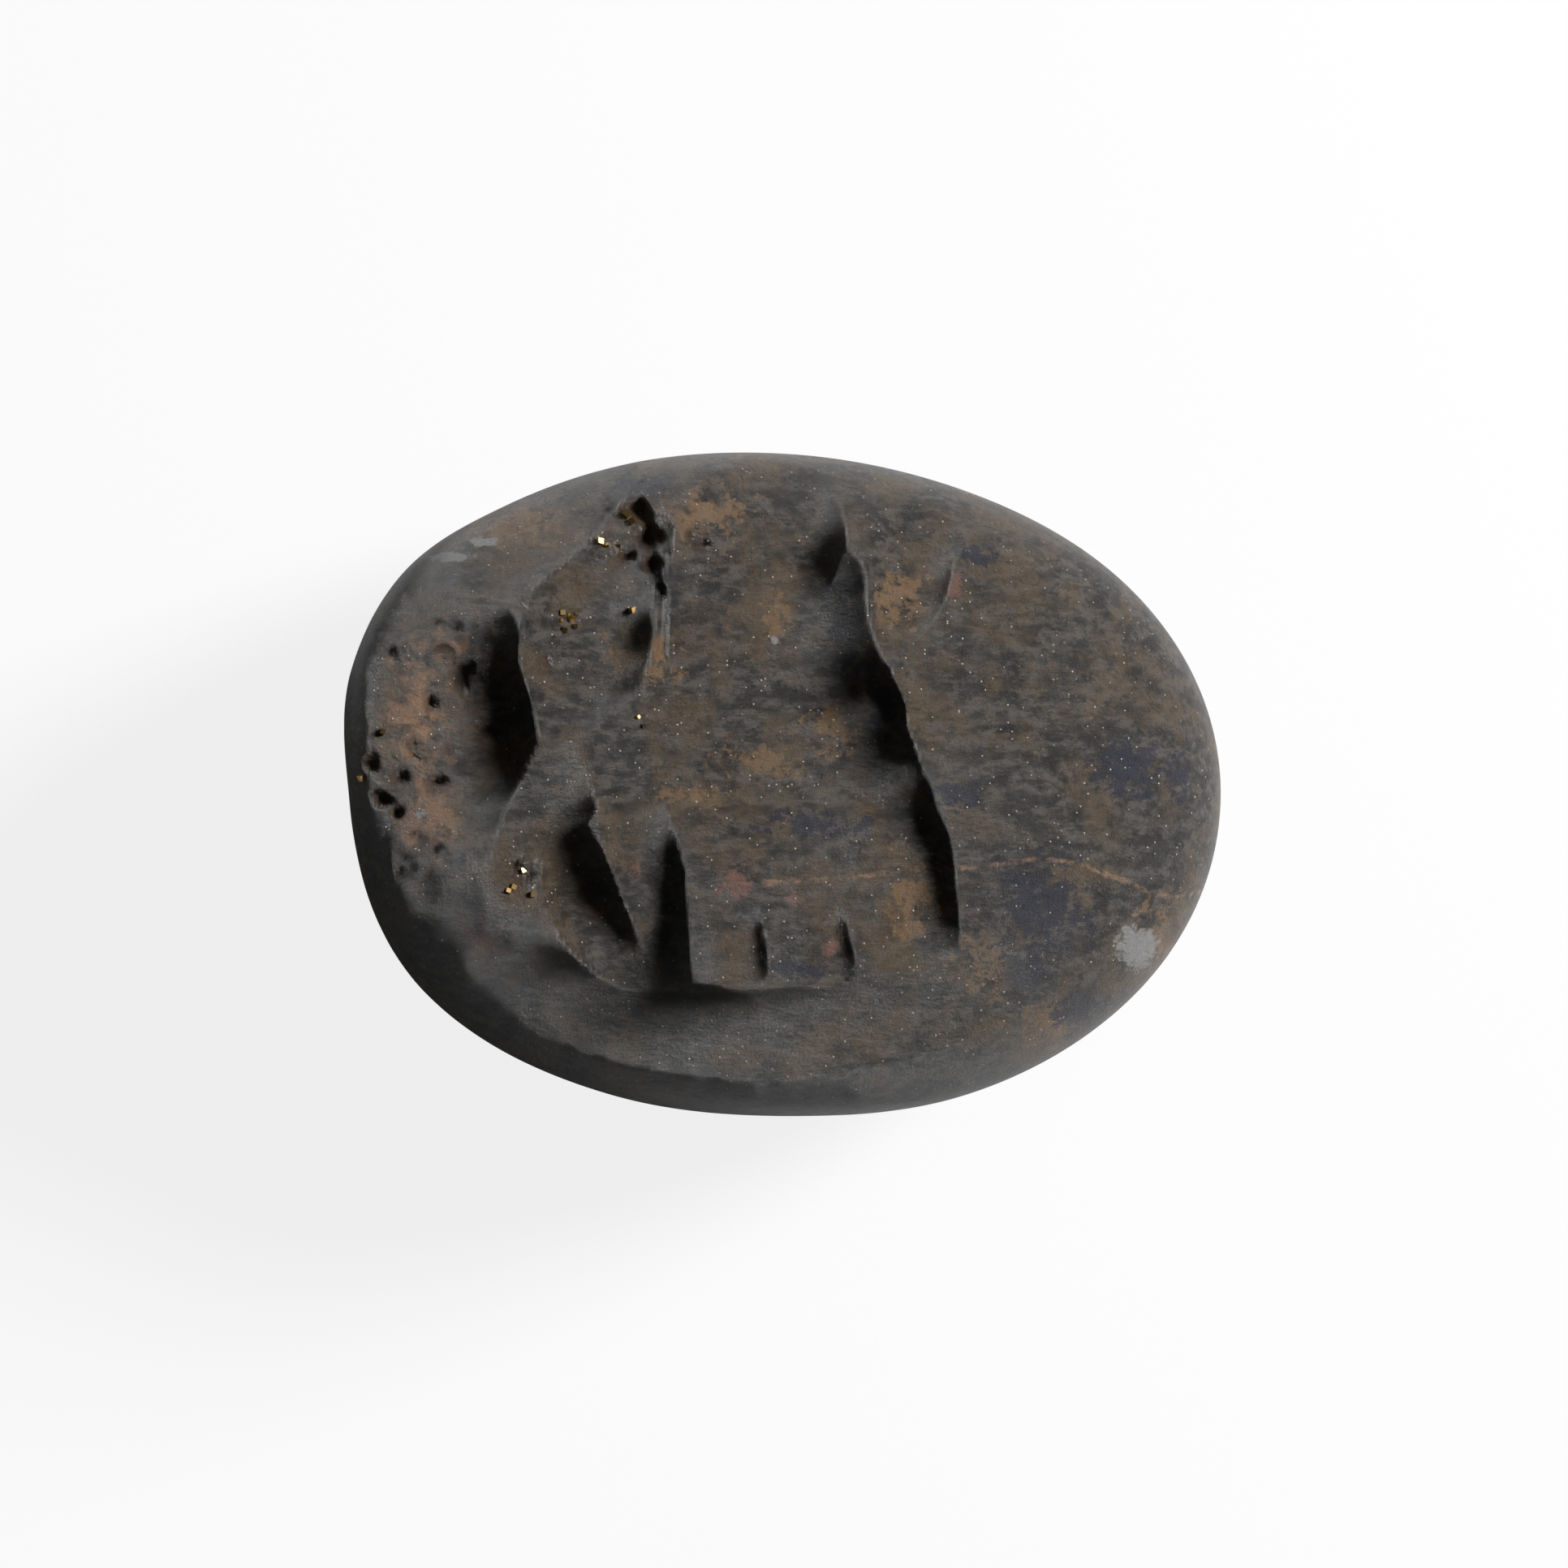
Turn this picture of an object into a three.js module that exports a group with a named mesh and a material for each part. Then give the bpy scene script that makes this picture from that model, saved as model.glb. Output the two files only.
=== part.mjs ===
// A worn intaglio gem: one dark stone, engraved on its domed face with a standing animal.
// Millimetres. The stone lies on its back, the engraved face up: +X runs to the right-hand end of
// the face, +Y to its head, +Z out of it. The origin is the middle of the flat that it rests on.
import * as THREE from "three";

// Overall sizes
const LENGTH = 18;
const WIDTH = 13.66;
const FACE_RISE = 4.2;
const BACK_DEPTH = 3.4;
const REST_LENGTH = 9;
const REST_WIDTH = 6;

// Engraving dies out over this height above the widest line of the stone
const FADE_HEIGHT = 1;
// Cuts run into each other, and out into the face, with edges worn this round
const WORN_EDGE = 0.07;
// Share of a cut's width that is rounded at its bottom
const ROUND_BOTTOM = 0.14;

// Outline: [bearing in degrees from the right-hand end, distance as a share of a plain ellipse's]
const FULLNESS = [
  [0, 1.0], [30, 0.99], [60, 0.98], [90, 1.0], [120, 1.04], [135, 1.06], [150, 1.085],
  [165, 1.05], [182, 0.995], [210, 1.035], [240, 1.015], [270, 0.995], [300, 1.02], [330, 1.02],
];

// Side seen in section: [bearing, squareness]; 2 is an ellipse, and more stands more upright
const SQUARENESS = [
  [0, 2.5], [60, 2.4], [110, 2.7], [150, 3.6], [178, 6], [205, 3.6], [228, 2.7], [270, 3.3], [310, 2.8],
];

// Each cut has a depth in mm, the width in mm of its wall to the left and to the right of its route,
// a power (2 is a rounded trough, more has a flatter floor), and a route of
// [percent of the half length, percent of the half width, share of the depth]
const CUTS = {
  nape: { depth: 0.9, left: 0.87, right: 2.18, power: 1.8,
    route: [[3.5, 71.5, 0.6], [4.5, 58, 0.95], [6.3, 43.3, 1]] },
  chest: { depth: 1.1, left: 1.5, right: 3.77, power: 1.7,
    route: [[5.6, 40.8, 0.85], [8.6, 26.1, 1], [13, 11.4, 0.9], [17.1, -0.9, 0.43]] },
  barrel: { depth: 0.8, left: 1.47, right: 1.24, power: 5,
    route: [[-32.7, 11.4, 0.56], [-16, 13.4, 0.75], [-1.1, 16.3, 0.98], [11.9, 16.3, 1]] },
  haunch: { depth: 0.8, left: 1, right: 1.59, power: 2,
    route: [[-34.6, 64.1, 0.54], [-37.4, 48.2, 0.88], [-41.1, 33.5, 1], [-46.7, 24.6, 0.68]] },
  endHollow: { depth: 1, left: 1, right: 2.14, power: 2,
    route: [[-71.1, 44.5, 0.12], [-68.5, 31, 0.6], [-66, 15.1, 1], [-70.3, -2.1, 0.6], [-74.4, -16.8, 0.25]] },
  rimChip: { depth: 0.55, left: 1.54, right: 0.7, power: 2,
    route: [[-70.9, 62.4, 0.27], [-59.7, 68.3, 0.73], [-49.5, 76.3, 1], [-43.3, 88.6, 0.82]] },
  thigh: { depth: 0.48, left: 0.74, right: 1.42, power: 2,
    route: [[-48, 10.9, 0.65], [-49.5, 0.4, 1], [-52.8, -9.4, 0.82], [-54.7, -18, 0.51]] },
  hindLeg: { depth: 0.5, left: 0.7, right: 0.7, power: 2,
    route: [[-51.7, -16.8, 0.72], [-44.5, -33.9, 1], [-37.4, -48.7, 0.96], [-30.3, -61.6, 0.56]] },
  secondHindLeg: { depth: 0.36, left: 0.55, right: 0.87, power: 2,
    route: [[-29.4, -10.2, 0.83], [-28.7, -27.8, 1], [-28.3, -47.4, 0.96], [-27.5, -60.9, 0.61]] },
  foreLeg: { depth: 0.4, left: 0.6, right: 1, power: 2,
    route: [[26.4, -2.1, 0.7], [29.8, -15.6, 1], [31.3, -32.7, 1], [32.4, -49.9, 0.65]] },
  firstTeat: { depth: 0.26, left: 0.27, right: 0.64, power: 2,
    route: [[-7.6, -24.9, 0.56], [-7.1, -40.1, 1], [-6.7, -54.3, 0.67]] },
  secondTeat: { depth: 0.32, left: 0.4, right: 0.67, power: 2,
    route: [[10, -30.3, 0.58], [10.6, -40.1, 1], [11.3, -52.3, 0.75]] },
  ground: { depth: 0.5, left: 0.67, right: 1, power: 2,
    route: [[-60.7, -54.8, 0.31], [-45.8, -62.6, 0.63], [-30.9, -67.8, 0.88], [-12.3, -71, 1],
      [6.3, -70, 1], [24.9, -65.1, 0.81], [45.4, -57.2, 0.38]] },
  upperGroove: { depth: 0.6, left: 0.64, right: 1.04, power: 2,
    route: [[32.4, 67.8, 0.55], [29.8, 55.5, 1], [24.9, 43.3, 0.63]] },
  crescent: { depth: 0.5, left: 0.47, right: 0.92, power: 2,
    route: [[34.2, 30.5, 0.61], [43.5, 31.5, 1], [52.8, 28.6, 0.61]] },
  shoulderHollow: { depth: 0.45, left: 2.09, right: 1.67, power: 3,
    route: [[38.9, 37.1, 0.58], [42.6, 23.7, 1], [46.3, 7.7, 0.69]] },
  rightDip: { depth: 0.16, left: 1, right: 0.84, power: 2,
    route: [[67.7, 46.9, 0.5], [71.8, 33.5, 1], [70.5, 18.8, 0.38]] },
};

// What the cutter left standing, written as the cuts are, with a height in place of the depth
const RAISED = {
  arc: { depth: 0.2, left: 0.33, right: 0.33, power: 2,
    route: [[34.2, 38.8, 0.36], [42, 42.8, 1], [53.2, 38.8, 0.36]] },
  boss: { depth: 0.4, left: 1.17, right: 1.17, power: 2,
    route: [[46.3, -2.1, 1], [51, -2.1, 1]] },
  belly: { depth: 0.2, left: 0.7, right: 1, power: 3,
    route: [[-14.1, -15.6, 1], [13.8, -15.6, 1]] },
};

// Fineness of the faceted surface
const GRID_ALONG = 48;
const GRID_ACROSS = 36;
const BACK_RINGS = 6;
const ROUTE_STEPS = 6;
// Share of the sampling that is even; the rest crowds towards the rim
const EVEN_SHARE = 0.75;

const QUARTER_TURN = Math.PI / 2;
const HALF_LENGTH = LENGTH / 2;
const HALF_WIDTH = WIDTH / 2;

// Smooth periodic curve through [bearing, value] pairs, the first of which is at 0
function atBearing(pairs, radians) {
  const turn = (THREE.MathUtils.radToDeg(radians) + 360) % 360;
  const pair = (k) => {
    const wrapped = (k + pairs.length) % pairs.length;
    return [pairs[wrapped][0] + 360 * Math.floor(k / pairs.length), pairs[wrapped][1]];
  };
  const start = pairs.findLastIndex(([bearing]) => bearing <= turn);
  const [x0, y0] = pair(start - 1);
  const [x1, y1] = pair(start);
  const [x2, y2] = pair(start + 1);
  const [x3, y3] = pair(start + 2);
  const span = x2 - x1;
  const t = (turn - x1) / span;
  const slope1 = (span * (y2 - y0)) / (x2 - x0);
  const slope2 = (span * (y3 - y1)) / (x3 - x1);
  const blend = t * t * (3 - 2 * t);
  return y1 + (y2 - y1) * blend + slope1 * t * (1 - t) ** 2 - slope2 * t * t * (1 - t);
}

// The larger of two values, with the corner between them rounded over
function smoothMax(a, b, rounding) {
  const h = THREE.MathUtils.clamp(0.5 + (0.5 * (a - b)) / rounding, 0, 1);
  return b + (a - b) * h + rounding * h * (1 - h);
}

// A stroke's route as points in mm, the third number being its depth there
function routePoints({ depth, route }) {
  const points = route.map(([along, across, share]) => new THREE.Vector3(
    (HALF_LENGTH * along) / 100,
    (HALF_WIDTH * across) / 100,
    depth * share,
  ));
  const curve = new THREE.CatmullRomCurve3(points, false, "catmullrom", 0.5);
  return curve.getPoints(ROUTE_STEPS * (points.length - 1));
}

function makeStrokes(table) {
  return Object.values(table).map((stroke) => ({ ...stroke, points: routePoints(stroke) }));
}

// Depth of one stroke at a point: full on the route, nothing at its width, below nothing beyond
function strokeDepth(stroke, x, y) {
  let deepest = -Infinity;
  for (let k = 1; k < stroke.points.length; k += 1) {
    const a = stroke.points[k - 1];
    const b = stroke.points[k];
    const dx = b.x - a.x;
    const dy = b.y - a.y;
    const t = THREE.MathUtils.clamp(((x - a.x) * dx + (y - a.y) * dy) / (dx * dx + dy * dy), 0, 1);
    const offX = x - a.x - t * dx;
    const offY = y - a.y - t * dy;
    const distance = Math.hypot(offX, offY);
    const side = distance > 0 ? (dx * offY - dy * offX) / (Math.hypot(dx, dy) * distance) : 0;
    const width = (stroke.left + stroke.right) / 2 + (side * (stroke.left - stroke.right)) / 2;
    const reach = Math.hypot(distance / width, ROUND_BOTTOM) - ROUND_BOTTOM;
    const depth = a.z + (b.z - a.z) * t;
    deepest = Math.max(deepest, depth * (1 - Math.min(reach, 2.2) ** stroke.power));
  }
  return deepest;
}

const cuts = makeStrokes(CUTS);
const raised = makeStrokes(RAISED);

// How far the worn engraving lowers the face at a point
function engraving(x, y) {
  const cut = cuts.reduce((sum, stroke) => smoothMax(sum, strokeDepth(stroke, x, y), WORN_EDGE), -1);
  const left = raised.reduce((sum, stroke) => smoothMax(sum, strokeDepth(stroke, x, y), WORN_EDGE), 0);
  return smoothMax(cut, 0, WORN_EDGE) - left;
}

// A grid point from -1 to 1 each way, spread over the stone: its plan and its uncut height
function domePoint(u, v) {
  const discX = u * Math.sqrt(1 - (v * v) / 2);
  const discY = v * Math.sqrt(1 - (u * u) / 2);
  const radius = Math.hypot(discX, discY);
  const planX = HALF_LENGTH * discX;
  const planY = HALF_WIDTH * discY;
  const bearing = Math.atan2(planY, planX);
  const power = atBearing(SQUARENESS, bearing);
  const angle = QUARTER_TURN * (EVEN_SHARE * radius + (1 - EVEN_SHARE) * radius ** 3);
  const size = (Math.sin(angle) ** power + Math.max(Math.cos(angle), 0) ** power) ** (1 / power);
  const spread = radius > 0 ? (Math.sin(angle) / size / radius) * atBearing(FULLNESS, bearing) : 0;
  const height = radius > 1 - 1e-9 ? 0 : (FACE_RISE * Math.cos(angle)) / size;
  return new THREE.Vector3(planX * spread, planY * spread, height);
}

// The engraved face, fitted to the stone's length and width, from the widest line up
function facePoints() {
  const points = [];
  for (let j = 0; j <= GRID_ACROSS; j += 1) {
    for (let i = 0; i <= GRID_ALONG; i += 1) {
      points.push(domePoint((2 * i) / GRID_ALONG - 1, (2 * j) / GRID_ACROSS - 1));
    }
  }
  const box = new THREE.Box3().setFromPoints(points);
  const middle = box.getCenter(new THREE.Vector3());
  const size = box.getSize(new THREE.Vector3());
  for (const point of points) {
    point.x = ((point.x - middle.x) * LENGTH) / size.x;
    point.y = ((point.y - middle.y) * WIDTH) / size.y;
    const fade = Math.min(1, point.z / FADE_HEIGHT);
    point.z += BACK_DEPTH - fade * engraving(point.x, point.y);
  }
  return points;
}

// The grid's border, anticlockwise seen from above
function rimLoop() {
  const at = (i, j) => j * (GRID_ALONG + 1) + i;
  const loop = [];
  for (let i = 0; i < GRID_ALONG; i += 1) loop.push(at(i, 0));
  for (let j = 0; j < GRID_ACROSS; j += 1) loop.push(at(GRID_ALONG, j));
  for (let i = GRID_ALONG; i > 0; i -= 1) loop.push(at(i, GRID_ACROSS));
  for (let j = GRID_ACROSS; j > 0; j -= 1) loop.push(at(0, j));
  return loop;
}

// Face triangles, each square split along the diagonal that points to the middle
function faceTriangles() {
  const triangles = [];
  for (let j = 0; j < GRID_ACROSS; j += 1) {
    for (let i = 0; i < GRID_ALONG; i += 1) {
      const a = j * (GRID_ALONG + 1) + i;
      const b = a + 1;
      const d = a + GRID_ALONG + 1;
      const c = d + 1;
      const sameSide = i < GRID_ALONG / 2 === j < GRID_ACROSS / 2;
      triangles.push(...(sameSide ? [a, b, c, a, c, d] : [a, b, d, b, c, d]));
    }
  }
  return triangles;
}

function engravedStone() {
  const points = facePoints();
  const triangles = faceTriangles();
  const rim = rimLoop();
  let upper = rim;
  for (let ring = 1; ring <= BACK_RINGS; ring += 1) {
    const angle = QUARTER_TURN * (1 - ring / BACK_RINGS);
    const lower = rim.map((index) => {
      const { x, y } = points[index];
      const turn = Math.atan2(y / HALF_WIDTH, x / HALF_LENGTH);
      const restX = (REST_LENGTH / 2) * Math.cos(turn);
      const restY = (REST_WIDTH / 2) * Math.sin(turn);
      points.push(new THREE.Vector3(
        restX + (x - restX) * Math.sin(angle),
        restY + (y - restY) * Math.sin(angle),
        BACK_DEPTH * (1 - Math.cos(angle)),
      ));
      return points.length - 1;
    });
    for (let n = 0; n < rim.length; n += 1) {
      const next = (n + 1) % rim.length;
      triangles.push(lower[n], lower[next], upper[next], lower[n], upper[next], upper[n]);
    }
    upper = lower;
  }
  // The resting flat, laced across from one side of its edge to the other
  for (let n = 0; n < rim.length / 2 - 1; n += 1) {
    const far = rim.length - 1 - n;
    triangles.push(upper[n], upper[far], upper[n + 1]);
    if (n + 1 < far - 1) triangles.push(upper[n + 1], upper[far], upper[far - 1]);
  }
  const geometry = new THREE.BufferGeometry().setFromPoints(points);
  geometry.setIndex(triangles);
  geometry.computeVertexNormals();
  return geometry;
}

const darkStone = new THREE.MeshStandardMaterial({ color: 0x39342f, roughness: 0.5, metalness: 0 });
const stone = new THREE.Mesh(engravedStone(), darkStone);
stone.name = "engraved_stone";

const gem = new THREE.Group();
gem.add(stone);

export default gem;
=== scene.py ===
"""A worn intaglio gem: one dark mottled stone, engraved on its domed face with a standing animal.

The stone's surface is a grid from -1 to 1 each way, spread over a disc by
x = u sqrt(1 - v^2 / 2), y = v sqrt(1 - u^2 / 2). The disc's radius r sets an angle of a quarter
turn times (0.75 r + 0.25 r^3) from the crown. With n the side's squareness at that bearing and
m = (sin^n + cos^n)^(1/n), the plan distance is sin / m times the outline and the height cos / m
times the rise. The engraving lowers that height along routes, each a trough whose depth is
1 - (distance / width)^power. Lengths are in millimetres until the mesh is made.
"""

import math

import bpy
import numpy as np
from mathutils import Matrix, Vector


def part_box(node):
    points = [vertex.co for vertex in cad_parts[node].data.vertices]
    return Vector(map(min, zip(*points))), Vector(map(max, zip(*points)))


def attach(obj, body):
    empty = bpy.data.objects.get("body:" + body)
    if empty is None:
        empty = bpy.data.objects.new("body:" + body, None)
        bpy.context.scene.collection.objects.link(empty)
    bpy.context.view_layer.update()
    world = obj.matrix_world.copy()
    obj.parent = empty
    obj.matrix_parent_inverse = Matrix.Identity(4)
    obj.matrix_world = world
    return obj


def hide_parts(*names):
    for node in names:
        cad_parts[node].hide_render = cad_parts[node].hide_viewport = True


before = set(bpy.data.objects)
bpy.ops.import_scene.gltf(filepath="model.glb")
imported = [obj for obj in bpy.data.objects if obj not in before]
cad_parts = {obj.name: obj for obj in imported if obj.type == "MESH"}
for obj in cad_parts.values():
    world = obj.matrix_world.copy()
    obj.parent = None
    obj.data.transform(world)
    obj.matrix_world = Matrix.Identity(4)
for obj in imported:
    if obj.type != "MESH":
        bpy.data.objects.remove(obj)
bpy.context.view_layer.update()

MM = 0.001
NODE = "engraved_stone"
LOW, HIGH = (np.array(corner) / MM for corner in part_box(NODE))
HALF_LENGTH = (HIGH[0] - LOW[0]) / 2
HALF_WIDTH = (HIGH[1] - LOW[1]) / 2

# Heights of the stone and the flat that it rests on
FACE_RISE = 4.2
BACK_DEPTH = 3.4
REST_LENGTH = 9.0
REST_WIDTH = 6.0
FADE_HEIGHT = 1.0
WORN_EDGE = 0.06
ROUND_BOTTOM = 0.14
REACH_LIMIT = 2.2
EVEN_SHARE = 0.75

# Fineness of the surface
GRID_ALONG = 300
GRID_ACROSS = 224
BACK_RINGS = 24
ROUTE_STEPS = 8

# Outline: bearing in degrees from the right-hand end, and distance as a share of a plain ellipse's
FULLNESS = [
    (0, 1.0), (30, 0.99), (60, 0.98), (90, 1.0), (120, 1.04), (135, 1.06), (150, 1.085),
    (165, 1.05), (182, 0.995), (210, 1.035), (240, 1.015), (270, 0.995), (300, 1.02), (330, 1.02),
]

# Side seen in section: bearing and squareness, 2 being an ellipse
SQUARENESS = [
    (0, 2.5), (60, 2.4), (110, 2.7), (150, 3.6), (178, 6), (205, 3.6), (228, 2.7), (270, 3.3), (310, 2.8),
]

# Cuts: depth, width to the left and to the right of the route, power, and the route as
# (percent of the half length, percent of the half width, share of the depth)
CUTS = {
    "nape": (0.9, 0.87, 2.18, 1.8, [(3.5, 71.5, 0.6), (4.5, 58, 0.95), (6.3, 43.3, 1)]),
    "chest": (1.1, 1.5, 3.77, 1.7,
              [(5.6, 40.8, 0.85), (8.6, 26.1, 1), (13, 11.4, 0.9), (17.1, -0.9, 0.43)]),
    "barrel": (0.8, 1.47, 1.24, 5,
               [(-32.7, 11.4, 0.56), (-16, 13.4, 0.75), (-1.1, 16.3, 0.98), (11.9, 16.3, 1)]),
    "haunch": (0.8, 1.0, 1.59, 2,
               [(-34.6, 64.1, 0.54), (-37.4, 48.2, 0.88), (-41.1, 33.5, 1), (-46.7, 24.6, 0.68)]),
    "end hollow": (1.0, 1.0, 2.14, 2,
                   [(-71.1, 44.5, 0.12), (-68.5, 31, 0.6), (-66, 15.1, 1), (-70.3, -2.1, 0.6),
                    (-74.4, -16.8, 0.25)]),
    "rim chip": (0.55, 1.54, 0.7, 2,
                 [(-70.9, 62.4, 0.27), (-59.7, 68.3, 0.73), (-49.5, 76.3, 1), (-43.3, 88.6, 0.82)]),
    "thigh": (0.48, 0.74, 1.42, 2,
              [(-48, 10.9, 0.65), (-49.5, 0.4, 1), (-52.8, -9.4, 0.82), (-54.7, -18, 0.51)]),
    "hind leg": (0.5, 0.7, 0.7, 2,
                 [(-51.7, -16.8, 0.72), (-44.5, -33.9, 1), (-37.4, -48.7, 0.96), (-30.3, -61.6, 0.56)]),
    "second hind leg": (0.36, 0.55, 0.87, 2,
                        [(-29.4, -10.2, 0.83), (-28.7, -27.8, 1), (-28.3, -47.4, 0.96),
                         (-27.5, -60.9, 0.61)]),
    "fore leg": (0.4, 0.6, 1.0, 2,
                 [(26.4, -2.1, 0.7), (29.8, -15.6, 1), (31.3, -32.7, 1), (32.4, -49.9, 0.65)]),
    "first teat": (0.26, 0.27, 0.64, 2, [(-7.6, -24.9, 0.56), (-7.1, -40.1, 1), (-6.7, -54.3, 0.67)]),
    "second teat": (0.32, 0.4, 0.67, 2, [(10, -30.3, 0.58), (10.6, -40.1, 1), (11.3, -52.3, 0.75)]),
    "ground": (0.5, 0.67, 1.0, 2,
               [(-60.7, -54.8, 0.31), (-45.8, -62.6, 0.63), (-30.9, -67.8, 0.88), (-12.3, -71, 1),
                (6.3, -70, 1), (24.9, -65.1, 0.81), (45.4, -57.2, 0.38)]),
    "upper groove": (0.6, 0.64, 1.04, 2, [(32.4, 67.8, 0.55), (29.8, 55.5, 1), (24.9, 43.3, 0.63)]),
    "crescent": (0.5, 0.47, 0.92, 2, [(34.2, 30.5, 0.61), (43.5, 31.5, 1), (52.8, 28.6, 0.61)]),
    "shoulder hollow": (0.45, 2.09, 1.67, 3, [(38.9, 37.1, 0.58), (42.6, 23.7, 1), (46.3, 7.7, 0.69)]),
    "right dip": (0.16, 1.0, 0.84, 2, [(67.7, 46.9, 0.5), (71.8, 33.5, 1), (70.5, 18.8, 0.38)]),
}

# What the cutter left standing, written as the cuts are
RAISED = {
    "arc": (0.2, 0.33, 0.33, 2, [(34.2, 38.8, 0.36), (42, 42.8, 1), (53.2, 38.8, 0.36)]),
    "boss": (0.4, 1.17, 1.17, 2, [(46.3, -2.1, 1), (51, -2.1, 1)]),
    "belly": (0.2, 0.7, 1.0, 3, [(-14.1, -15.6, 1), (13.8, -15.6, 1)]),
}

# The photograph's frame: its size, and the gem's middle and half length in it, in pixels
PHOTO_WIDTH = 1932
PHOTO_MIDDLE = (966.0, 966.5)
PHOTO_HALF_LENGTH = 537.5
PIXEL = HALF_LENGTH / PHOTO_HALF_LENGTH

# Places seen in the photograph, in its pixels: middle, half width and half height
NAVY_PLACES = [
    (1275, 1118, 62, 58), (1380, 950, 45, 38), (1442, 965, 14, 48), (1000, 1012, 62, 16),
    (1200, 690, 28, 14), (1172, 980, 34, 22), (1318, 1238, 30, 24), (1262, 1190, 40, 30),
    (985, 1190, 40, 12), (1040, 780, 26, 60), (1085, 870, 24, 50), (790, 605, 40, 16),
]
OCHRE_PLACES = [
    (950, 940, 62, 26), (955, 755, 24, 36), (1120, 1100, 34, 60), (1215, 1180, 60, 50),
    (1290, 1255, 50, 40), (850, 980, 60, 14), (790, 820, 60, 40), (640, 650, 90, 30),
    (1030, 900, 40, 40), (870, 640, 60, 34), (1425, 1150, 40, 40), (1110, 740, 40, 40),
]
TAN_PLACES = [(522, 880, 52, 120), (545, 1000, 40, 80), (510, 1020, 24, 60), (555, 800, 40, 44)]
ROSE_PLACES = [(910, 1085, 22, 24), (978, 1108, 16, 10), (1023, 1168, 10, 14), (540, 1040, 14, 12),
               (600, 1150, 36, 30), (785, 1068, 12, 12), (1170, 725, 20, 22)]
# Pale marks: partly pale stone, and the two thin streaks at the upper left are a painted highlight along a
# lit edge
PALE_AND_HIGHLIGHT_PLACES = [(1395, 1165, 30, 32), (527, 1003, 8, 6), (955, 793, 5, 5), (560, 690, 34, 7),
               (600, 672, 20, 6)]
VEIN_ROUTE = [(940, 1086), (1030, 1080), (1110, 1073), (1190, 1067), (1270, 1058), (1325, 1065),
              (1380, 1085), (1435, 1103), (1485, 1098)]
CRACK_ROUTES = [
    [(595, 745), (650, 752), (672, 778), (700, 720), (762, 680), (806, 640)],
    [(790, 610), (800, 650), (808, 700), (820, 738)],
]

# Coloured patches: which places, how far noise breaks the edge, where the colour starts and where it
# is full, its share at most, and the colour
PATCH_COLOURS = [
    ("ochre", 1.6, 0.1, 0.8, 0.75, (0.135, 0.078, 0.034, 1)),
    ("tan", 1.0, 0.1, 1.1, 0.7, (0.20, 0.105, 0.050, 1)),
    ("navy", 1.7, 0.1, 0.4, 0.9, (0.004, 0.005, 0.015, 1)),
    ("rose", 1.3, 0.1, 0.6, 0.6, (0.15, 0.065, 0.045, 1)),
]

# Worn and broken relief in mm: size and height of swells all over, and of lumps on the rough end
SWELLS = [(0.8, 0.045), (0.3, 0.020)]
ROUGH_LUMPS = [(0.32, 0.07), (0.15, 0.05)]
ROUGH_BORDER = 0.4
PIT_GRAIN = 0.18
CRACK_DEPTH = 0.05
CRACK_WIDTH = 0.07
CRACK_STAIN_WIDTH = 0.10
PIT_STAIN_REACH = 1.4
GRIT_HEIGHT = 0.15

# Pits: middle in the photograph's pixels, then radius and depth in mm
PITS = [
    (787, 632, 0.26, 0.30), (800, 668, 0.24, 0.28), (776, 690, 0.16, 0.18), (806, 700, 0.18, 0.22),
    (868, 675, 0.17, 0.20), (852, 664, 0.10, 0.10), (680, 818, 0.14, 0.14), (578, 835, 0.22, 0.20),
    (545, 965, 0.20, 0.24), (520, 920, 0.16, 0.18), (500, 960, 0.22, 0.22), (540, 870, 0.15, 0.16),
    (652, 1075, 0.28, 0.22), (480, 985, 0.16, 0.18), (498, 1000, 0.13, 0.15), (530, 1040, 0.15, 0.12),
    (610, 900, 0.18, 0.14), (465, 940, 0.14, 0.16), (560, 925, 0.12, 0.12), (1440, 1150, 0.20, 0.14),
]
# A small upright wall beside the haunch: its top and bottom in pixels, and its size in mm
NICK_TOP = (818, 732)
NICK_BOTTOM = (820, 806)
NICK_WIDTH = 0.10
NICK_DEPTH = 0.12

# Pyrite grains: middle in the photograph's pixels and edge in mm
PYRITE_GRAINS = [
    (701, 758, 0.10), (707, 766, 0.13), (712, 774, 0.09), (703, 780, 0.11), (716, 760, 0.07),
    (695, 771, 0.07), (782, 757, 0.11), (775, 641, 0.16), (781, 647, 0.12), (742, 674, 0.12),
    (752, 678, 0.08), (765, 676, 0.07), (652, 1068, 0.10), (642, 1090, 0.10), (632, 1097, 0.09),
    (664, 1102, 0.10), (790, 888, 0.07), (797, 894, 0.07), (482, 905, 0.10), (455, 960, 0.11),
]

SEED = 7


def smooth_max(a, b, rounding):
    """The larger of two fields, with the corner between them rounded over."""
    h = np.clip(0.5 + 0.5 * (a - b) / rounding, 0, 1)
    return b + (a - b) * h + rounding * h * (1 - h)


def at_bearing(pairs, radians):
    """Smooth periodic curve through (bearing, value) pairs, the first of which is at 0."""
    turn = np.degrees(radians) % 360
    x = np.array([pairs[-1][0] - 360] + [p[0] for p in pairs] + [360, 360 + pairs[1][0]], float)
    y = np.array([pairs[-1][1]] + [p[1] for p in pairs] + [pairs[0][1], pairs[1][1]], float)
    slope = (y[2:] - y[:-2]) / (x[2:] - x[:-2])
    x, y = x[1:-1], y[1:-1]
    k = np.clip(np.searchsorted(x, turn, side="right") - 1, 0, len(x) - 2)
    span = x[k + 1] - x[k]
    t = (turn - x[k]) / span
    blend = t * t * (3 - 2 * t)
    bend = slope[k] * t * (1 - t) ** 2 - slope[k + 1] * t * t * (1 - t)
    return y[k] + (y[k + 1] - y[k]) * blend + span * bend


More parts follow.
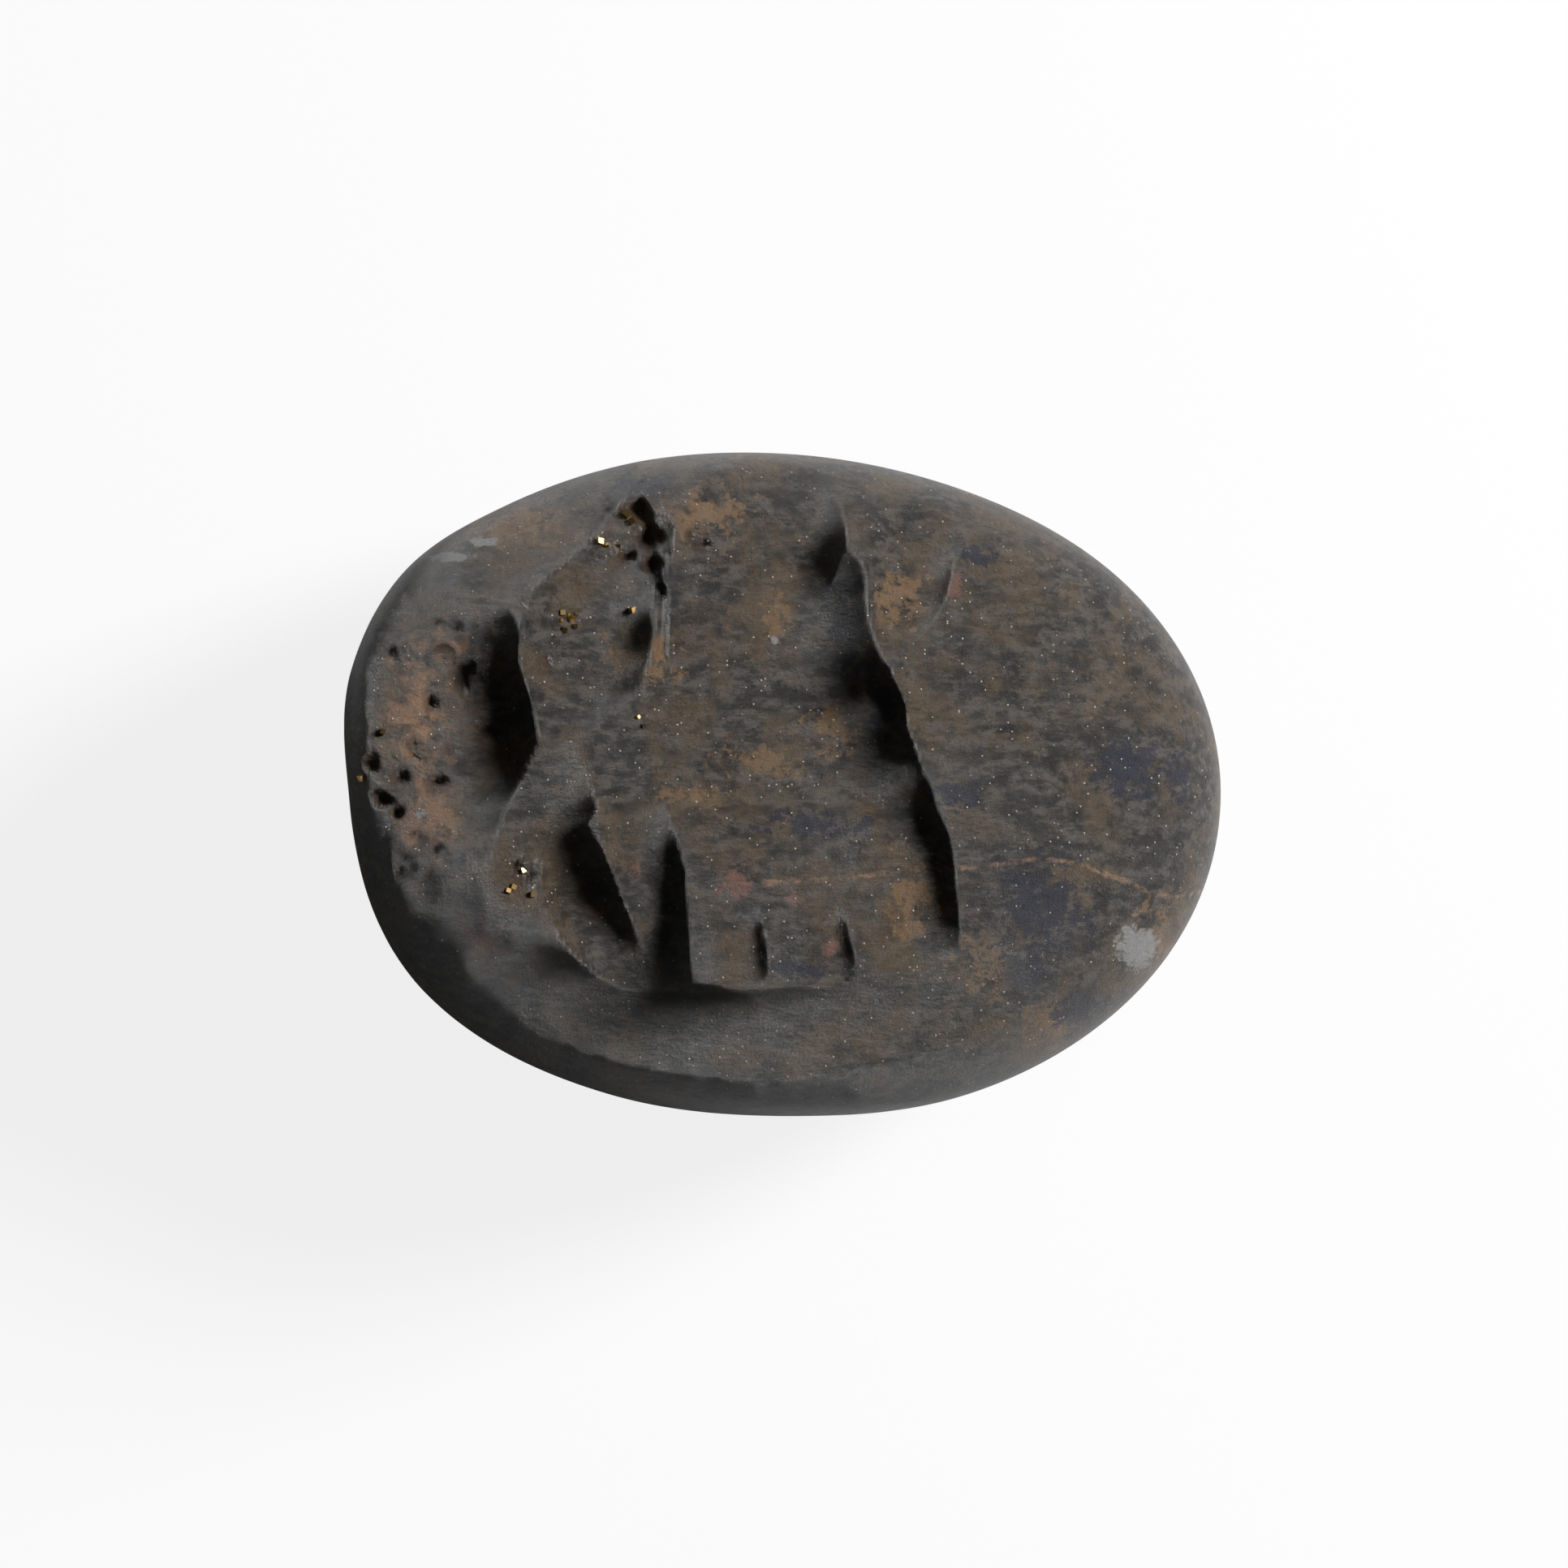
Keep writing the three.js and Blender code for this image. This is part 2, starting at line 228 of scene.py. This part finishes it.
def smooth_route(points):
    """A route through the points by uniform Catmull-Rom, with the ends carried straight on."""
    p = np.array(points, float)
    p = np.vstack([2 * p[0] - p[1], p, 2 * p[-1] - p[-2]])
    t = (np.arange(ROUTE_STEPS) / ROUTE_STEPS)[:, None]
    spans = [
        0.5 * (2 * b + (c - a) * t + (2 * a - 5 * b + 4 * c - d) * t**2 + (3 * b - a - 3 * c + d) * t**3)
        for a, b, c, d in zip(p[:-3], p[1:-2], p[2:-1], p[3:])
    ]
    return np.vstack(spans + [p[-2:-1]])


def stroke_depth(stroke, x, y):
    """Depth of one stroke: full on its route, nothing at its width, below nothing beyond."""
    depth, left, right, power, route = stroke
    scale = np.array([HALF_LENGTH / 100, HALF_WIDTH / 100, depth])
    points = smooth_route(np.array(route, float) * scale)
    deepest = np.full_like(x, -np.inf)
    for (ax, ay, az), (bx, by, bz) in zip(points[:-1], points[1:]):
        dx, dy = bx - ax, by - ay
        t = np.clip(((x - ax) * dx + (y - ay) * dy) / (dx * dx + dy * dy), 0, 1)
        off_x, off_y = x - ax - t * dx, y - ay - t * dy
        distance = np.maximum(np.hypot(off_x, off_y), 1e-9)
        side = (dx * off_y - dy * off_x) / (math.hypot(dx, dy) * distance)
        width = (left + right) / 2 + side * (left - right) / 2
        reach = np.hypot(distance / width, ROUND_BOTTOM) - ROUND_BOTTOM
        here = (az + (bz - az) * t) * (1 - np.minimum(reach, REACH_LIMIT) ** power)
        deepest = np.maximum(deepest, here)
    return deepest


def route_distance(route, x, y):
    """Distance in mm to a route given in the photograph's pixels."""
    points = smooth_route([photo_place(*pixel) for pixel in route])
    nearest = np.full_like(x, np.inf)
    for (ax, ay), (bx, by) in zip(points[:-1], points[1:]):
        dx, dy = bx - ax, by - ay
        t = np.clip(((x - ax) * dx + (y - ay) * dy) / (dx * dx + dy * dy), 0, 1)
        nearest = np.minimum(nearest, np.hypot(x - ax - t * dx, y - ay - t * dy))
    return nearest


def photo_place(px, py):
    """A pixel of the photograph as a place on the face, in mm."""
    return (px - PHOTO_MIDDLE[0]) * PIXEL, (PHOTO_MIDDLE[1] - py) * PIXEL


def places_field(places, x, y):
    """1 at the middle of the nearest place, 0 at its edge and below nothing outside."""
    field = np.full_like(x, -2.0)
    for px, py, half_width, half_height in places:
        cx, cy = photo_place(px, py)
        away = np.hypot((x - cx) / (half_width * PIXEL), (y - cy) / (half_height * PIXEL))
        field = np.maximum(field, 1 - away)
    return field


def grain(x, y, size, seed):
    """Smooth noise from -1 to 1, its lumps about size mm across."""
    lattice = np.random.default_rng(seed).uniform(-1, 1, (256, 256))
    u, v = x / size + 128, y / size + 128
    i, j = np.floor(u).astype(int), np.floor(v).astype(int)
    s, t = u - i, v - j
    s, t = s * s * (3 - 2 * s), t * t * (3 - 2 * t)
    i, j = i % 255, j % 255
    low = lattice[i, j] * (1 - s) + lattice[i + 1, j] * s
    high = lattice[i, j + 1] * (1 - s) + lattice[i + 1, j + 1] * s
    return low * (1 - t) + high * t


def wear(x, y):
    """Fine relief that wear and breakage left: swells, pits, cracks, a nick and the rough end."""
    rough = np.clip(places_field(TAN_PLACES, x, y) + ROUGH_BORDER, 0, 1)
    lowered = np.zeros_like(x)
    for seed, (size, height) in enumerate(SWELLS, SEED):
        lowered += height * grain(x, y, size, seed)
    for seed, (size, height) in enumerate(ROUGH_LUMPS, SEED + len(SWELLS)):
        lowered += rough * height * grain(x, y, size, seed)
    ragged = 1.25 + 0.7 * grain(x, y, PIT_GRAIN, SEED + 4)
    for px, py, radius, depth in PITS:
        cx, cy = photo_place(px, py)
        away = np.hypot(x - cx, y - cy) / radius * ragged
        lowered += depth * np.exp(-(away**2))
    for route in CRACK_ROUTES:
        lowered += CRACK_DEPTH * np.exp(-((route_distance(route, x, y) / CRACK_WIDTH) ** 2))
    nick = route_distance([NICK_TOP, NICK_BOTTOM], x, y)
    return lowered + NICK_DEPTH * np.exp(-((nick / NICK_WIDTH) ** 2))


def engraving(x, y):
    """How far the worn engraving lowers the face."""
    cut = np.full_like(x, -1.0)
    for stroke in CUTS.values():
        cut = smooth_max(cut, stroke_depth(stroke, x, y), WORN_EDGE)
    standing = np.zeros_like(x)
    for stroke in RAISED.values():
        standing = smooth_max(standing, stroke_depth(stroke, x, y), WORN_EDGE)
    return smooth_max(cut, 0, WORN_EDGE) - standing


def dome(u, v):
    """Plan and uncut height above the widest line, for grid values from -1 to 1."""
    disc_x = u * np.sqrt(1 - v * v / 2)
    disc_y = v * np.sqrt(1 - u * u / 2)
    radius = np.hypot(disc_x, disc_y)
    plan_x, plan_y = HALF_LENGTH * disc_x, HALF_WIDTH * disc_y
    bearing = np.arctan2(plan_y, plan_x)
    power = at_bearing(SQUARENESS, bearing)
    angle = np.minimum(math.pi / 2 * (EVEN_SHARE * radius + (1 - EVEN_SHARE) * radius**3), math.pi / 2)
    sine, cosine = np.sin(angle), np.maximum(np.cos(angle), 0)
    size = (sine**power + cosine**power) ** (1 / power)
    spread = sine / size / np.maximum(radius, 1e-9) * at_bearing(FULLNESS, bearing)
    height = np.where(radius > 1 - 1e-9, 0, FACE_RISE * cosine / size)
    return plan_x * spread, plan_y * spread, height


def rim_loop():
    """The grid's border, anticlockwise seen from above."""
    row = GRID_ALONG + 1
    bottom = np.arange(GRID_ALONG)
    right = np.arange(GRID_ACROSS) * row + GRID_ALONG
    top = GRID_ACROSS * row + np.arange(GRID_ALONG, 0, -1)
    left = np.arange(GRID_ACROSS, 0, -1) * row
    return np.concatenate([bottom, right, top, left])


def stone_surface():
    """Vertices in mm and triangles of the whole stone."""
    u, v = np.meshgrid(np.linspace(-1, 1, GRID_ALONG + 1), np.linspace(-1, 1, GRID_ACROSS + 1))
    x, y, height = (part.ravel() for part in dome(u, v))
    x = (x - (x.max() + x.min()) / 2) * 2 * HALF_LENGTH / (x.max() - x.min())
    y = (y - (y.max() + y.min()) / 2) * 2 * HALF_WIDTH / (y.max() - y.min())
    fade = np.clip(height / FADE_HEIGHT, 0, 1)
    z = BACK_DEPTH + height - fade * (engraving(x, y) + wear(x, y))
    face = np.column_stack([x, y, z])

    i, j = np.meshgrid(np.arange(GRID_ALONG), np.arange(GRID_ACROSS))
    a = (j * (GRID_ALONG + 1) + i).ravel()
    b, d = a + 1, a + GRID_ALONG + 1
    c = d + 1
    same = ((i < GRID_ALONG / 2) == (j < GRID_ACROSS / 2)).ravel()[:, None]
    first = np.where(same, np.column_stack([a, b, c]), np.column_stack([a, b, d]))
    second = np.where(same, np.column_stack([a, c, d]), np.column_stack([b, c, d]))

    rim = rim_loop()
    rim_x, rim_y = x[rim], y[rim]
    turn = np.arctan2(rim_y / HALF_WIDTH, rim_x / HALF_LENGTH)
    rest_x, rest_y = REST_LENGTH / 2 * np.cos(turn), REST_WIDTH / 2 * np.sin(turn)
    vertices, triangles, upper = [face], [first, second], rim
    for ring in range(1, BACK_RINGS + 1):
        angle = math.pi / 2 * (1 - ring / BACK_RINGS)
        reach = math.sin(angle)
        level = np.full_like(rim_x, BACK_DEPTH * (1 - math.cos(angle)))
        vertices.append(np.column_stack([
            rest_x + (rim_x - rest_x) * reach,
            rest_y + (rim_y - rest_y) * reach,
            level,
        ]))
        lower = len(face) + (ring - 1) * len(rim) + np.arange(len(rim))
        triangles.append(np.column_stack([lower, np.roll(lower, -1), np.roll(upper, -1)]))
        triangles.append(np.column_stack([lower, np.roll(upper, -1), upper]))
        upper = lower
    centre = len(face) + BACK_RINGS * len(rim)
    vertices.append(np.zeros((1, 3)))
    triangles.append(np.column_stack([upper, np.full_like(upper, centre), np.roll(upper, -1)]))
    return np.vstack(vertices), np.vstack(triangles)


def make_object(name, vertices, triangles, material, smooth):
    """A mesh object from vertices in mm, in place in the shared frame."""
    mesh = bpy.data.meshes.new(name)
    mesh.vertices.add(len(vertices))
    mesh.vertices.foreach_set("co", (vertices * MM).astype(np.float32).ravel())
    mesh.loops.add(triangles.size)
    mesh.loops.foreach_set("vertex_index", triangles.astype(np.int32).ravel())
    mesh.polygons.add(len(triangles))
    mesh.polygons.foreach_set("loop_start", np.arange(0, triangles.size, 3, dtype=np.int32))
    mesh.polygons.foreach_set("use_smooth", np.full(len(triangles), smooth))
    mesh.update(calc_edges=True)
    mesh.validate()
    mesh.materials.append(material)
    thing = bpy.data.objects.new(name, mesh)
    bpy.context.scene.collection.objects.link(thing)
    return thing


def add_field(thing, name, values):
    """A number for each vertex, which the material reads by name."""
    layer = thing.data.attributes.new(name, "FLOAT", "POINT")
    layer.data.foreach_set("value", values.astype(np.float32))


class Value:
    """A socket of a material, on which arithmetic makes Math nodes."""

    def __init__(self, tree, socket):
        self.tree = tree
        self.socket = socket

    def math(self, operation, first, second):
        return node(self.tree, "ShaderNodeMath", {"operation": operation}, {0: first, 1: second})

    def __add__(self, other):
        return self.math("ADD", self, other)

    __radd__ = __add__

    def __mul__(self, other):
        return self.math("MULTIPLY", self, other)

    __rmul__ = __mul__

    def __sub__(self, other):
        return self.math("SUBTRACT", self, other)

    def __rsub__(self, other):
        return self.math("SUBTRACT", other, self)

    def ramp(self, low, high):
        """0 below low, 1 above high, smooth between."""
        settings = {"interpolation_type": "SMOOTHSTEP"}
        inputs = {"Value": self, "From Min": low, "From Max": high}
        return node(self.tree, "ShaderNodeMapRange", settings, inputs)


def node(tree, kind, settings, inputs, output=0):
    """One node: its settings first, then its sockets, each a value or a link."""
    made = tree.nodes.new(kind)
    for name, setting in settings.items():
        setattr(made, name, setting)
    for name, given in inputs.items():
        if isinstance(given, Value):
            tree.links.new(given.socket, made.inputs[name])
        else:
            made.inputs[name].default_value = given
    return Value(tree, made.outputs[output])


def mix_colour(tree, factor, first, second):
    settings = {"data_type": "RGBA"}
    return node(tree, "ShaderNodeMix", settings, {0: factor, 6: first, 7: second}, 2)


def new_material(name):
    """An empty material's tree, with its Principled node."""
    material = bpy.data.materials.new(name)
    material.use_nodes = True
    return material, material.node_tree, material.node_tree.nodes["Principled BSDF"]


def stone_material():
    """Dark grey and brown mottled stone with navy and ochre patches, a vein, pale marks that are partly a
    painted highlight, and bright specks whose glint is painted into the colour.
    """
    material, tree, surface = new_material("dark_stone")
    place = node(tree, "ShaderNodeTexCoord", {}, {}, "Object")
    in_mm = node(tree, "ShaderNodeVectorMath", {"operation": "SCALE"}, {0: place, "Scale": 1 / MM})
    stretched = node(tree, "ShaderNodeVectorMath", {"operation": "MULTIPLY"}, {0: in_mm, 1: (0.65, 1.3, 1)})

    def noise(vector, scale, detail=4.0, roughness=0.6):
        inputs = {"Vector": vector, "Scale": scale, "Detail": detail, "Roughness": roughness}
        return node(tree, "ShaderNodeTexNoise", {}, inputs)

    def field(name):
        return node(tree, "ShaderNodeAttribute", {"attribute_name": name}, {}, "Fac")

    cloud = noise(in_mm, 0.9)
    streak = noise(stretched, 3.2, 6.0, 0.7)
    fleck = noise(in_mm, 5.5, 6.0, 0.75)
    patchy = noise(in_mm, 2.6, 5.0, 0.7)
    edge = (fleck - 0.5) * 2.4 + (patchy - 0.5) * 2.6

    colour = mix_colour(tree, streak.ramp(0.42, 0.62), (0.007, 0.006, 0.005, 1), (0.056, 0.048, 0.041, 1))
    colour = mix_colour(tree, cloud.ramp(0.44, 0.62) * 0.65, colour, (0.070, 0.044, 0.020, 1))
    colour = mix_colour(tree, fleck.ramp(0.52, 0.62) * 0.75, colour, (0.009, 0.008, 0.008, 1))
    for name, broken, start, full, share, shade in PATCH_COLOURS:
        here = (field(name) + edge * broken).ramp(start, full) * share
        colour = mix_colour(tree, here, colour, shade)
    vein = 1 - (field("vein") + (fleck - 0.5) * 0.24).ramp(0.01, 0.08)
    colour = mix_colour(tree, vein * patchy.ramp(0.42, 0.60) * 0.7, colour, (0.22, 0.13, 0.075, 1))
    # Pale marks, partly pale stone and partly a painted highlight along a lit edge at the upper left
    colour = mix_colour(tree, (field("pale") + edge * 0.8).ramp(0.0, 0.45), colour, (0.16, 0.157, 0.155, 1))
    colour = mix_colour(tree, field("stain").ramp(0.15, 0.8) * 0.75, colour, (0.030, 0.014, 0.006, 1))

    # Bright specks: small mineral specks whose glint is painted into the colour as near-white dots; they also
    # get lower roughness and a little bump
    cells = {"Vector": in_mm, "Scale": 13.0}
    near = node(tree, "ShaderNodeTexVoronoi", {}, cells, "Distance")
    pick = node(tree, "ShaderNodeTexVoronoi", {}, cells, "Color")
    pick = node(tree, "ShaderNodeSeparateColor", {}, {"Color": pick}, "Red")
    speck_and_painted_glint = (1 - near.ramp(0.18, 0.34)) * pick.ramp(0.93, 0.96)
    colour = mix_colour(tree, speck_and_painted_glint * 0.8, colour, (0.42, 0.38, 0.33, 1))
    tree.links.new(colour.socket, surface.inputs["Base Color"])

    rough = 0.20 + streak * 0.22 + fleck * 0.16 - speck_and_painted_glint * 0.25 + field("tan").ramp(-0.4, 0.4) * 0.15
    tree.links.new(rough.socket, surface.inputs["Roughness"])
    surface.inputs["Specular IOR Level"].default_value = 0.6

    grit = noise(in_mm, 3.6, 9.0, 0.85) + streak * 0.5 + speck_and_painted_glint * 0.3
    relief = {"Strength": 1.0, "Distance": GRIT_HEIGHT * MM, "Height": grit}
    bump = node(tree, "ShaderNodeBump", {}, relief, "Normal")
    tree.links.new(bump.socket, surface.inputs["Normal"])
    return material


def pyrite_material():
    material, _, surface = new_material("pyrite")
    surface.inputs["Base Color"].default_value = (0.62, 0.42, 0.17, 1)
    surface.inputs["Metallic"].default_value = 1
    surface.inputs["Roughness"].default_value = 0.25
    return material


def make_stone():
    vertices, triangles = stone_surface()
    stone = make_object("stone", vertices, triangles, stone_material(), True)
    x, y, z = vertices.T
    above = z > BACK_DEPTH
    for name, places in {"navy": NAVY_PLACES, "ochre": OCHRE_PLACES, "tan": TAN_PLACES,
                         "rose": ROSE_PLACES, "pale": PALE_AND_HIGHLIGHT_PLACES}.items():
        add_field(stone, name, np.where(above, places_field(places, x, y), -2))
    add_field(stone, "vein", np.where(above, route_distance(VEIN_ROUTE, x, y), 1))
    stain = np.zeros_like(x)
    for px, py, radius, _ in PITS:
        cx, cy = photo_place(px, py)
        away = np.hypot(x - cx, y - cy) / (PIT_STAIN_REACH * radius)
        stain = np.maximum(stain, np.exp(-(away**2)))
    for route in CRACK_ROUTES:
        away = route_distance(route, x, y) / CRACK_STAIN_WIDTH
        stain = np.maximum(stain, 0.45 * np.exp(-(away**2)))
    add_field(stone, "stain", np.where(above, stain, 0))
    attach(stone, "root")
    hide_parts(NODE)
    return vertices


def make_pyrite(surface):
    """Small gold cubes, each turned at random and half sunk in the face."""
    rng = np.random.default_rng(SEED)
    corners = np.array([(i, j, k) for i in (-1, 1) for j in (-1, 1) for k in (-1, 1)], float) / 2
    sides = np.array([(0, 1, 3), (0, 3, 2), (4, 6, 7), (4, 7, 5), (0, 4, 5), (0, 5, 1),
                      (2, 3, 7), (2, 7, 6), (0, 2, 6), (0, 6, 4), (1, 5, 7), (1, 7, 3)])
    face = surface[: (GRID_ALONG + 1) * (GRID_ACROSS + 1)]
    vertices, triangles = [], []
    for count, (px, py, edge) in enumerate(PYRITE_GRAINS):
        cx, cy = photo_place(px, py)
        ground = face[np.argmin((face[:, 0] - cx) ** 2 + (face[:, 1] - cy) ** 2)]
        turn, _ = np.linalg.qr(rng.normal(size=(3, 3)))
        turn[:, 0] *= np.sign(np.linalg.det(turn))
        vertices.append(corners * edge @ turn.T + ground)
        triangles.append(sides + 8 * count)
    grains = make_object("pyrite_grains", np.vstack(vertices), np.vstack(triangles), pyrite_material(), False)
    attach(grains, "root")


def make_floor():
    """A pale floor that the camera sees as nearly white, and which keeps the stone's shadow."""
    half = 0.6
    corners = np.array([(-half, -half, 0), (half, -half, 0), (half, half, 0), (-half, half, 0)]) / MM
    material, tree, surface = new_material("floor")
    surface.inputs["Base Color"].default_value = (0.5, 0.5, 0.5, 1)
    surface.inputs["Roughness"].default_value = 0.9
    seen = node(tree, "ShaderNodeLightPath", {}, {}, "Is Camera Ray")
    white = node(tree, "ShaderNodeEmission", {}, {"Color": (1, 1, 1, 1), "Strength": 1.0}, "Emission")
    lit = Value(tree, surface.outputs["BSDF"])
    both = node(tree, "ShaderNodeMixShader", {}, {0: seen * 0.85, 1: lit, 2: white})
    tree.links.new(both.socket, tree.nodes["Material Output"].inputs["Surface"])
    floor = make_object("floor", corners, np.array([(0, 1, 2), (0, 2, 3)]), material, False)


def make_light(name, azimuth, elevation, distance, size, power):
    """An area light that faces the stone, its azimuth anticlockwise from the right-hand end."""
    data = bpy.data.lights.new(name, "AREA")
    data.shape = "DISK"
    data.size = size
    data.energy = power
    light = bpy.data.objects.new(name, data)
    azimuth, elevation = math.radians(azimuth), math.radians(elevation)
    light.location = (
        distance * math.cos(elevation) * math.cos(azimuth),
        distance * math.cos(elevation) * math.sin(azimuth),
        distance * math.sin(elevation),
    )
    light.rotation_euler = (math.pi / 2 - elevation, 0, azimuth + math.pi / 2)
    bpy.context.scene.collection.objects.link(light)


def make_camera():
    """Straight above the face, as wide as the photograph at the stone's widest line."""
    lens, sensor = 200.0, 36.0
    seen_width = PHOTO_WIDTH * PIXEL
    data = bpy.data.cameras.new("camera")
    data.lens = lens
    data.sensor_width = sensor
    data.clip_start = 0.01
    camera = bpy.data.objects.new("camera", data)
    camera.location = (0, 0, (BACK_DEPTH + seen_width * lens / sensor) * MM)
    bpy.context.scene.collection.objects.link(camera)
    bpy.context.scene.camera = camera


def make_world():
    world = bpy.data.worlds.new("world")
    world.use_nodes = True
    background = world.node_tree.nodes["Background"]
    background.inputs["Color"].default_value = (1, 1, 1, 1)
    background.inputs["Strength"].default_value = 0.03
    bpy.context.scene.world = world


surface = make_stone()
make_pyrite(surface)
make_floor()
make_light("key", azimuth=24, elevation=27, distance=0.25, size=0.08, power=2.1)
make_light("top", azimuth=60, elevation=60, distance=0.3, size=0.12, power=0.05)
make_camera()
make_world()
bpy.context.scene.view_settings.view_transform = "Standard"
